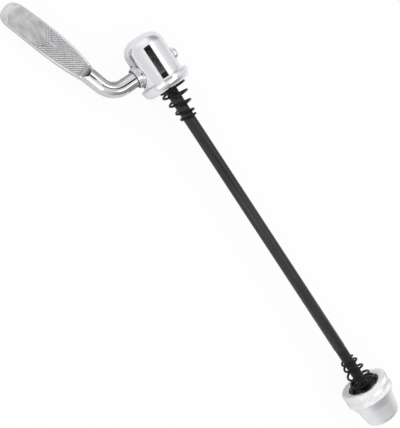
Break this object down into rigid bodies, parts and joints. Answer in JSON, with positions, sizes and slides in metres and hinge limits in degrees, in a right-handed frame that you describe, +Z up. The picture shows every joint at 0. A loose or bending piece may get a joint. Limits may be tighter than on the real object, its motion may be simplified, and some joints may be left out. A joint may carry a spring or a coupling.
{
  "type": "quick release skewer",
  "caption": "Bicycle wheel skewer: thin rod with a cam lever in a bell-shaped housing at one end, a knurled cone nut at the other and a cone spring beside each.",
  "frame": {"origin": "on the rod's axis, in the plane of the cam housing's clamp face", "axes": "+X along the rod from the cam housing to the nut, +Z up from the surface that the skewer lies on, +Y away from the lever"},
  "size_m": [0.229, 0.0511, 0.021],
  "materials": {
    "chromed_steel": "bright chrome plate on steel",
    "chromed_lever": "chrome plate, bright on the arm and soft on the paddle",
    "plain_steel": "plain turned steel",
    "black_rod": "black, half matt",
    "black_spring": "black spring wire",
    "satin_alloy": "satin, with straight knurling on the rim",
    "black_insert": "black steel",
    "nylon": "natural nylon"
  },
  "bodies": {
    "housing_body": {"cam_housing": "chromed_steel"},
    "lever_body": {"lever": "chromed_lever", "shaft_cap": "chromed_steel", "shaft_washer": "plain_steel"},
    "rod_body": {"cam_follower": "plain_steel", "skewer_rod": "black_rod"},
    "cam_spring_body": {"cam_side_spring": "black_spring"},
    "nut_spring_body": {"nut_side_spring": "black_spring"},
    "nut_body": {"adjusting_nut": "satin_alloy", "nut_insert": "black_insert", "lock_ring": "nylon"}
  },
  "joints": [
    {"name": "lever_turn", "type": "hinge", "parent": "housing_body", "child": "lever_body", "pos_m": [-0.0103, 0, 0], "axis": [0, -0.9821, -0.1881], "range_deg": [-90, 90]},
    {"name": "rod_draw", "type": "slide", "parent": "housing_body", "child": "rod_body", "axis": [1, 0, 0], "range_m": [-0.00111, 0.00111]},
    {"name": "cam_spring_slide", "type": "slide", "parent": "housing_body", "child": "cam_spring_body", "axis": [1, 0, 0], "range_m": [0, 0.1]},
    {"name": "nut_travel", "type": "slide", "parent": "rod_body", "child": "nut_spring_body", "axis": [1, 0, 0], "range_m": [-0.01201, 0.00801]},
    {"name": "nut_spin", "type": "hinge", "parent": "nut_spring_body", "child": "nut_body", "pos_m": [0.1495, 0, 0], "axis": [1, 0, 0], "range_deg": [-5400, 3600]}
  ],
  "couplings": [
    {"joint": "rod_draw", "follows": "lever_turn", "m_per_rad": -0.00070028},
    {"joint": "nut_travel", "follows": "nut_spin", "m_per_rad": 0.00012732}
  ]
}
